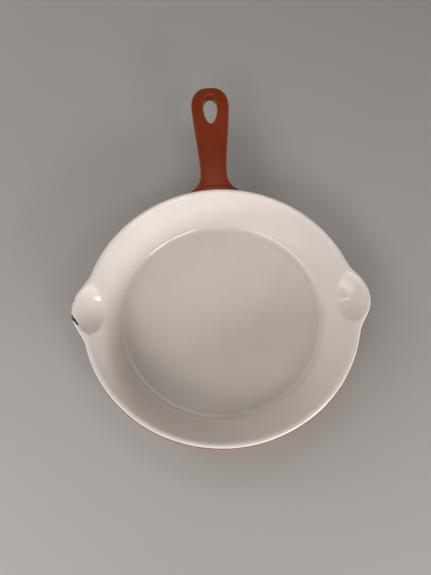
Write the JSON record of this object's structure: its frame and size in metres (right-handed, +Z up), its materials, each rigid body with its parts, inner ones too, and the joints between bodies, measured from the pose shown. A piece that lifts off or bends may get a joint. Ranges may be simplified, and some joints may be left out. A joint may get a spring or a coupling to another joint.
{
  "type": "enamelled cast iron skillet",
  "caption": "Round enamelled cast iron skillet with opposite pouring lips, a flat foot ring and a long cast handle that ends in an egg-shaped hanging hole.",
  "frame": {"origin": "on the axis of the bowl, at the plane of the foot ring that the skillet stands on", "axes": "+Z up out of the bowl, +Y along the handle towards its tip, +X through the pouring lip on the right when the bowl is seen from above with the handle pointing away"},
  "size_m": [0.2808, 0.407, 0.0473],
  "materials": {
    "iron": "matte",
    "cream_enamel": "gloss",
    "terracotta_enamel": "gloss",
    "black_enamel": "matte"
  },
  "bodies": {
    "root": {"iron_casting": "iron", "interior_enamel": "cream_enamel", "exterior_enamel": "terracotta_enamel", "base_enamel": "black_enamel"}
  },
  "joints": []
}
